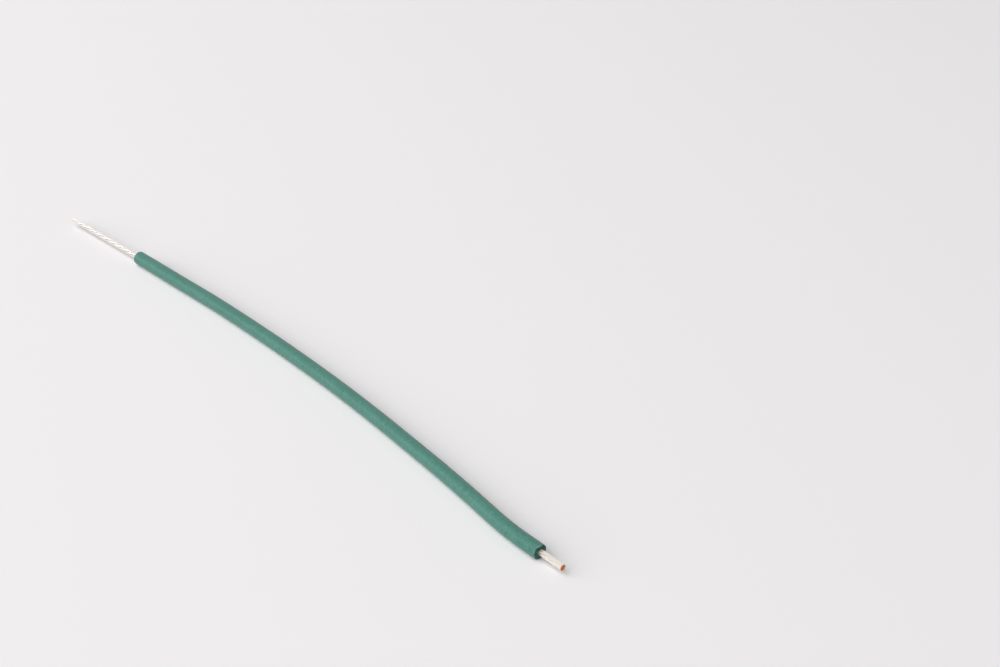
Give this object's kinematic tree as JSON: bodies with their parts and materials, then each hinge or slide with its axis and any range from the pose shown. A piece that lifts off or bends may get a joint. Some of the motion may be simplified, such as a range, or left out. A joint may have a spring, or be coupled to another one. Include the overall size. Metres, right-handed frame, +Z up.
{
  "type": "stripped lead wire",
  "caption": "Short stranded hook-up wire in a round plastic jacket, stripped at both ends to bare twisted strands for soldering or clamping.",
  "frame": {"origin": "centre of the wire's box in X and Y, on the table that the jacket lies on", "axes": "+X along the wire from its short bare end to its long one, +Z up from the table; the wire's bow lies flat in X and Y"},
  "size_m": [0.087, 0.0038, 0.0015],
  "materials": {
    "jacket": "satin teal green plasticised PVC",
    "strand": "bright tinned copper, with bare copper on the cut ends"
  },
  "bodies": {
    "root": {"insulation_jacket": "jacket", "centre_strand": "strand", "outer_strand_1": "strand", "outer_strand_2": "strand", "outer_strand_3": "strand", "outer_strand_4": "strand", "outer_strand_5": "strand", "outer_strand_6": "strand"}
  },
  "joints": []
}
